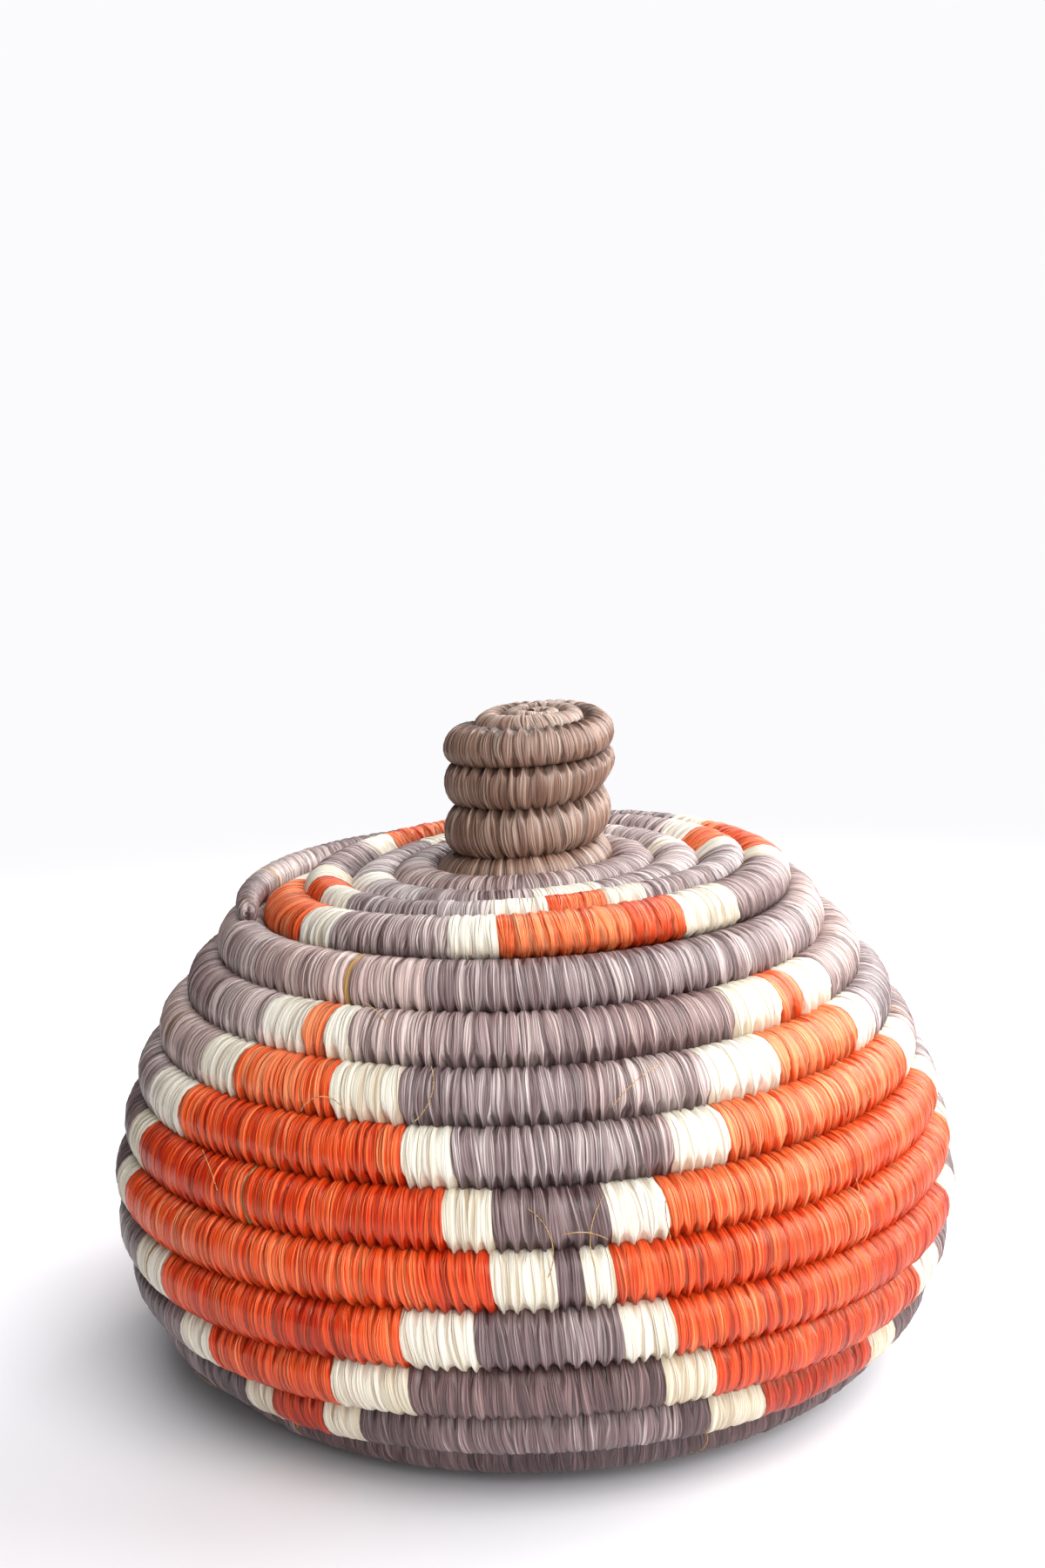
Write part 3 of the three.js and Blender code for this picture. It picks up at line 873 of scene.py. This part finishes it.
    smoothest = roughness - ROUGHNESS_SPREAD / 2
    links.new(calc("MULTIPLY_ADD", fibres, ROUGHNESS_SPREAD, smoothest), shader.inputs["Roughness"])
    heights = calc("ADD", calc("MULTIPLY", folds, FOLD_BUMP), calc("MULTIPLY", fibres, FIBRE_BUMP))
    heights = calc("SUBTRACT", heights, calc("MULTIPLY", gaps, GAP_BUMP))
    bump = node("ShaderNodeBump")
    bump.inputs["Strength"].default_value = BUMP_STRENGTH
    bump.inputs["Distance"].default_value = BUMP_DISTANCE
    links.new(heights, bump.inputs["Height"])
    links.new(bump.outputs[0], shader.inputs["Normal"])
    return material


def loose_fibres(name, outline, depth, rise, places, material):
    """Fibres that have worked loose and lie over the turns. Each place is an azimuth, a distance along the
    outline, a heading in degrees from level, a length and a lift."""
    curve = bpy.data.curves.new(name, "CURVE")
    curve.dimensions = "3D"
    curve.bevel_depth = FIBRE_RADIUS * MM
    curve.bevel_resolution = 1
    curve.use_fill_caps = True
    for azimuth, distance, heading, length, lift in places:
        angle, turn = math.radians(azimuth), math.radians(heading)
        bend = rng.normal(0, FIBRE_BEND)
        step = length / (FIBRE_SPOTS - 1)
        spots = []
        for t in np.linspace(0, 1, FIBRE_SPOTS):
            radius, height = outline.at(distance)
            ahead = unit(outline.at(distance + 1) - outline.at(distance - 1))
            wave = FIBRE_ARCH_START + (1 - 2 * FIBRE_ARCH_START) * t
            arch = math.sin(math.pi * wave) ** FIBRE_ARCH_POWER
            out = depth / 2 - FIBRE_SINK + (lift + FIBRE_SINK) * arch
            spot = place_in_space(radius + ahead[1] * out, height + rise - ahead[0] * out, angle, 0)
            spots.append([*(spot * MM), 1])
            angle += math.cos(turn + bend * t) * step / radius
            distance += math.sin(turn + bend * t) * step
        spline = curve.splines.new("POLY")
        spline.points.add(len(spots) - 1)
        spline.points.foreach_set("co", np.ravel(spots))
    holder = bpy.data.objects.new(name, curve)
    mesh = bpy.data.meshes.new_from_object(holder)
    mesh.name = name
    bpy.data.objects.remove(holder)
    points = np.array([mesh.vertices[loop.vertex_index].co for loop in mesh.loops])
    along = np.stack([points[:, 2], points[:, 0] + points[:, 1]], 1) / (MAP_UNIT * MM)
    mesh.uv_layers.new(name="fibres").data.foreach_set("uv", along.ravel())
    tint = np.tile(FIBRE_SHADES, len(points))
    mesh.color_attributes.new("strand", "FLOAT_COLOR", "CORNER").data.foreach_set("color", tint)
    mesh.materials.clear()
    mesh.materials.append(material)
    piece = bpy.data.objects.new(name, mesh)
    bpy.context.collection.objects.link(piece)
    return piece


def build_basket():
    # After each dye's shades comes the colour of its painted shade, for the creases and the gaps between
    # the fibres
    grey = raffia(
        "raffia_grey", [(64, 42, 46), (108, 83, 86), (150, 131, 132), (226, 215, 213)], (36, 20, 20),
        depth=0.8, warm=(1.0, 0.84, 0.78), roughness=0.38, shine=0.75, shine_tint=(1.0, 0.97, 0.95),
        foot_shade=0.42)
    taupe = raffia(
        "raffia_taupe", [(84, 55, 44), (118, 86, 72), (152, 119, 102), (196, 174, 160)], (38, 20, 13),
        depth=0.8, warm=(1.0, 0.9, 0.84), roughness=0.4, shine=0.7, shine_tint=(1.0, 0.97, 0.94))
    cream = raffia(
        "raffia_cream", [(206, 194, 168), (236, 229, 212), (249, 246, 238)], (176, 140, 98),
        depth=0.5, warm=(1.0, 0.98, 0.94), roughness=0.42, shine=0.4, shine_tint=(1.0, 1.0, 0.97))
    orange = raffia(
        "raffia_orange", [(146, 14, 2), (208, 38, 4), (246, 84, 24), (255, 146, 92)], (84, 8, 3),
        depth=0.8, warm=(1.0, 1.2, 1.5), roughness=0.34, shine=0.9, shine_tint=(1.0, 0.66, 0.42),
        foot_shade=0.42)
    straw = raffia(
        "raffia_straw", [(128, 92, 50), (184, 144, 88), (218, 186, 134)], (80, 50, 20),
        depth=0.7, warm=(1.0, 0.95, 0.85), roughness=0.55, shine=0.3, shine_tint=(1.0, 1.0, 1.0))
    raffias = [grey, cream, orange, straw]

    body = Coil(body_outline(), BODY_PITCH, BODY_DEPTH, BODY_END_AZIMUTH, 1, BODY_HEAD, BODY_TAIL)
    stitches = Stitches(body)
    dye = dye_of(stitches, BODY_MOTIFS, front=BODY_FRONT, first_row=1, direction=body.direction)
    first = 0
    for name, turns_left in BODY_PIECES.items():
        last = int(np.searchsorted(stitches.azimuth, BODY_FRONT + 360 * (1 - turns_left)))
        piece = stitch_mesh(name, body, stitches, first, last, -1, raffias, dye, floor=0.0)
        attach(piece, "basket")
        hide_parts("basket_coil")
        first = last

    # in the photograph some lie to the right of the middle, and others are strewn over the whole wall
    foot = body.outline.length - WALL_LENGTH
    strewn = [
        (
            rng.uniform(-180, 180), foot + rng.uniform(*STREWN_PLACES) * WALL_LENGTH,
            rng.uniform(*STREWN_HEADINGS), rng.uniform(*STREWN_LENGTHS), rng.uniform(*STREWN_LIFTS),
        )
        for _ in range(STREWN)
    ]
    piece = loose_fibres("body_fibres", body.outline, BODY_DEPTH, 0.0, BODY_FIBRES + strewn, straw)
    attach(piece, "basket")
    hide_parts("basket_coil")

    lid = Coil(lid_outline(), LID_PITCH, LID_DEPTH, LID_END_AZIMUTH, -1, LID_HEAD, LID_TAIL)
    lid.raise_by(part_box("lid_coil")[1].z / MM - lid.solid_top())
    stitches = Stitches(lid)
    dye = dye_of(stitches, LID_MOTIFS, front=LID_FRONT, first_row=0, direction=lid.direction)
    split = int(np.searchsorted(-stitches.azimuth, -(LID_FRONT + 360 * PLATE_TURNS)))
    for name, first, last, dyes in (
        ("lid_knob", 0, split, [taupe, cream, orange, straw]),
        ("lid_plate", split, stitches.count, raffias),
    ):
        piece = stitch_mesh(name, lid, stitches, first, last, 1, dyes, dye)
        settle(piece)
        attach(piece, "lid")
        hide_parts("lid_coil")

    piece = loose_fibres("lid_fibres", lid.outline, LID_DEPTH, lid.rise, LID_FIBRES, cream)
    settle(piece)
    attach(piece, "lid")
    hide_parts("lid_coil")

    ring = Ring("lid_locating_ring", RING_THICKNESS)
    stitches = Stitches(ring)
    dye = np.full(stitches.count, CREAM)
    piece = stitch_mesh("lid_ring", ring, stitches, 0, stitches.count, 1, raffias, dye)
    settle(piece)
    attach(piece, "lid")
    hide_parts("lid_locating_ring")


def build_floor():
    """A white floor that fades into the white surroundings."""
    material = bpy.data.materials.new("floor")
    material.use_nodes = True
    nodes, links = material.node_tree.nodes, material.node_tree.links
    shader = nodes["Principled BSDF"]
    shader.inputs["Base Color"].default_value = FLOOR_COLOUR
    shader.inputs["Roughness"].default_value = 0.9
    shader.inputs["Specular IOR Level"].default_value = 0.1
    place = nodes.new("ShaderNodeNewGeometry")
    distance = nodes.new("ShaderNodeVectorMath")
    distance.operation = "LENGTH"
    links.new(place.outputs["Position"], distance.inputs[0])
    fade = nodes.new("ShaderNodeMapRange")
    fade.interpolation_type = "SMOOTHSTEP"
    fade.inputs["From Min"].default_value = FLOOR_FADE[0]
    fade.inputs["From Max"].default_value = FLOOR_FADE[1]
    links.new(distance.outputs["Value"], fade.inputs["Value"])
    clear = nodes.new("ShaderNodeBsdfTransparent")
    mix = nodes.new("ShaderNodeMixShader")
    links.new(fade.outputs[0], mix.inputs[0])
    links.new(shader.outputs[0], mix.inputs[1])
    links.new(clear.outputs[0], mix.inputs[2])
    links.new(mix.outputs[0], nodes["Material Output"].inputs["Surface"])
    mesh = bpy.data.meshes.new("floor")
    size = FLOOR_FADE[1]
    corners = [(-size, -size, 0), (size, -size, 0), (size, size, 0), (-size, size, 0)]
    mesh.from_pydata(corners, [], [(0, 1, 2, 3)])
    mesh.materials.append(material)
    floor = bpy.data.objects.new("floor", mesh)
    bpy.context.collection.objects.link(floor)


def build_world():
    """White surroundings for the camera, which give a little light of their own."""
    world = bpy.data.worlds.new("studio")
    bpy.context.scene.world = world
    world.use_nodes = True
    nodes, links = world.node_tree.nodes, world.node_tree.links
    output = nodes["World Output"]
    light = nodes["Background"]
    light.inputs["Color"].default_value = (1, 1, 1, 1)
    light.inputs["Strength"].default_value = WORLD_STRENGTH
    seen = nodes.new("ShaderNodeBackground")
    seen.inputs["Color"].default_value = BACKGROUND_COLOUR
    seen.inputs["Strength"].default_value = 1
    path = nodes.new("ShaderNodeLightPath")
    mix = nodes.new("ShaderNodeMixShader")
    links.new(path.outputs["Is Camera Ray"], mix.inputs[0])
    links.new(light.outputs[0], mix.inputs[1])
    links.new(seen.outputs[0], mix.inputs[2])
    links.new(mix.outputs[0], output.inputs["Surface"])


def area_light(name, azimuth, elevation, distance, size, power):
    """A square lamp that looks at the basket's middle. Power in watts, lengths in metres."""
    lamp = bpy.data.lights.new(name, "AREA")
    lamp.size = size
    lamp.energy = power
    holder = bpy.data.objects.new(name, lamp)
    a, e = math.radians(azimuth), math.radians(elevation)
    away = Vector((math.sin(a) * math.cos(e), -math.cos(a) * math.cos(e), math.sin(e)))
    holder.location = Vector(LAMP_AIM) + away * distance
    holder.rotation_mode = "QUATERNION"
    holder.rotation_quaternion = away.to_track_quat("Z", "Y")
    bpy.context.collection.objects.link(holder)


def build_camera():
    """The photograph's view: a 50 mm lens on a 36 mm high frame, looking down and turned a little."""
    pitch, yaw, roll = (math.radians(angle) for angle in CAMERA_ANGLES)
    level_part = math.cos(pitch)
    forward = Vector((math.sin(yaw) * level_part, math.cos(yaw) * level_part, -math.sin(pitch)))
    level = Vector((math.cos(yaw), -math.sin(yaw), 0))
    upright = level.cross(forward)
    right = level * math.cos(roll) + upright * math.sin(roll)
    up = upright * math.cos(roll) - level * math.sin(roll)
    camera = bpy.data.cameras.new("camera")
    camera.lens = 50
    camera.sensor_fit = "VERTICAL"
    camera.sensor_height = 36
    camera.sensor_width = 24
    camera.clip_start = 0.01
    holder = bpy.data.objects.new("camera", camera)
    matrix = Matrix((right, up, -forward)).transposed().to_4x4()
    matrix.translation = Vector(CAMERA_PLACE)
    holder.matrix_world = matrix
    bpy.context.collection.objects.link(holder)
    bpy.context.scene.camera = holder


build_camera()
build_basket()
build_floor()
build_world()
for lamp in LAMPS:
    area_light(*lamp)

bpy.context.scene.view_settings.view_transform = "Standard"
